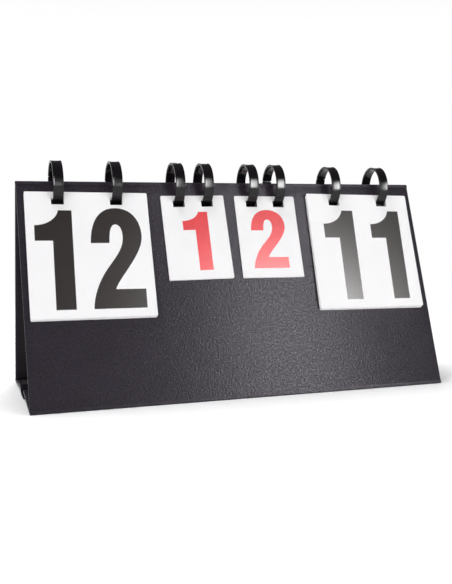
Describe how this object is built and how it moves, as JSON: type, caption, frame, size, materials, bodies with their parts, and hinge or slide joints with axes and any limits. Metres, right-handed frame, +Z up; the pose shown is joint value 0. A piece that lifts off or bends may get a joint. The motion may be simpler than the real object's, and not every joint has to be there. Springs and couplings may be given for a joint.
{
  "type": "tabletop flip scoreboard",
  "caption": "Tabletop flip scoreboard: a black cloth-bound folding tent with numbered score and set cards that flip over split rings.",
  "frame": {"origin": "middle of the footprint, on the table plane that the feet stand on", "axes": "+X to the right seen from the front, along both folds; -Y is the front that shows the score; +Z up"},
  "size_m": [0.4, 0.1594, 0.2183],
  "materials": {
    "greyboard": "plain greyboard",
    "cover_cloth": "fine linen-grained black bookcloth",
    "lining_paper": "matt black lining paper",
    "ring_plastic": "glossy black moulded plastic",
    "card": "white card, printed"
  },
  "bodies": {
    "front_board": {"front_board_core": "greyboard", "front_board_cover": "cover_cloth", "front_board_lining": "lining_paper", "top_fold_cloth": "cover_cloth", "front_foot_cloth": "cover_cloth", "left_score_front_pack": "card", "left_set_front_pack": "card", "right_set_front_pack": "card", "right_score_front_pack": "card"},
    "rear_board": {"rear_board_core": "greyboard", "rear_board_cover": "cover_cloth", "rear_board_lining": "lining_paper", "rear_foot_cloth": "cover_cloth", "left_score_rear_pack": "card", "left_set_rear_pack": "card", "right_set_rear_pack": "card", "right_score_rear_pack": "card"},
    "front_base": {"front_base_core": "greyboard", "front_base_cover": "cover_cloth", "front_base_lining": "lining_paper", "base_pleat_cloth": "cover_cloth"},
    "rear_base": {"rear_base_core": "greyboard", "rear_base_cover": "cover_cloth", "rear_base_lining": "lining_paper"},
    "left_score_rings": {"left_score_rings": "ring_plastic"},
    "left_score_card": {"left_score_card": "card"},
    "left_set_rings": {"left_set_rings": "ring_plastic"},
    "left_set_card": {"left_set_card": "card"},
    "right_set_rings": {"right_set_rings": "ring_plastic"},
    "right_set_card": {"right_set_card": "card"},
    "right_score_rings": {"right_score_rings": "ring_plastic"},
    "right_score_card": {"right_score_card": "card"}
  },
  "joints": [
    {"name": "tent_fold", "type": "hinge", "parent": "front_board", "child": "rear_board", "pos_m": [0, 0, 0.19649], "axis": [-1, 0, 0], "range_deg": [0, 35], "deforming": ["top_fold_cloth"]},
    {"name": "front_base_fold", "type": "hinge", "parent": "front_board", "child": "front_base", "pos_m": [0, -0.0754, 0.00275], "axis": [1, 0, 0], "range_deg": [0, 62.1], "deforming": ["front_foot_cloth", "base_pleat_cloth"]},
    {"name": "rear_base_fold", "type": "hinge", "parent": "rear_board", "child": "rear_base", "pos_m": [0, 0.0754, 0.00275], "axis": [-1, 0, 0], "range_deg": [0, 62.1], "deforming": ["rear_foot_cloth", "base_pleat_cloth"]},
    {"name": "left_score_ring_turn", "type": "hinge", "parent": "front_board", "child": "left_score_rings", "pos_m": [-0.1372, 0, 0.19729], "axis": [-1, 0, 0], "range_deg": [0, 275.23]},
    {"name": "left_score_card_swing", "type": "hinge", "parent": "left_score_rings", "child": "left_score_card", "pos_m": [-0.1372, -0.01345, 0.18256], "axis": [-1, 0, 0], "range_deg": [0, 42.57]},
    {"name": "left_set_ring_turn", "type": "hinge", "parent": "front_board", "child": "left_set_rings", "pos_m": [-0.0368, 0, 0.19679], "axis": [-1, 0, 0], "range_deg": [0, 287.51]},
    {"name": "left_set_card_swing", "type": "hinge", "parent": "left_set_rings", "child": "left_set_card", "pos_m": [-0.0368, -0.0118, 0.1807], "axis": [-1, 0, 0], "range_deg": [0, 30.29]},
    {"name": "right_set_ring_turn", "type": "hinge", "parent": "front_board", "child": "right_set_rings", "pos_m": [0.0368, 0, 0.19669], "axis": [-1, 0, 0], "range_deg": [0, 288.37]},
    {"name": "right_set_card_swing", "type": "hinge", "parent": "right_set_rings", "child": "right_set_card", "pos_m": [0.0368, -0.01167, 0.18052], "axis": [-1, 0, 0], "range_deg": [0, 29.43]},
    {"name": "right_score_ring_turn", "type": "hinge", "parent": "front_board", "child": "right_score_rings", "pos_m": [0.1372, 0, 0.19549], "axis": [-1, 0, 0], "range_deg": [0, 270.08]},
    {"name": "right_score_card_swing", "type": "hinge", "parent": "right_score_rings", "child": "right_score_card", "pos_m": [0.1372, -0.0141, 0.18138], "axis": [-1, 0, 0], "range_deg": [0, 47.72]}
  ],
  "couplings": [
    {"joint": "front_base_fold", "follows": "tent_fold", "ratio": 1.7743},
    {"joint": "rear_base_fold", "follows": "tent_fold", "ratio": 1.7743},
    {"joint": "left_score_card_swing", "follows": "left_score_ring_turn", "ratio": 0.15467},
    {"joint": "left_set_card_swing", "follows": "left_set_ring_turn", "ratio": 0.10535},
    {"joint": "right_set_card_swing", "follows": "right_set_ring_turn", "ratio": 0.10207},
    {"joint": "right_score_card_swing", "follows": "right_score_ring_turn", "ratio": 0.17669}
  ]
}
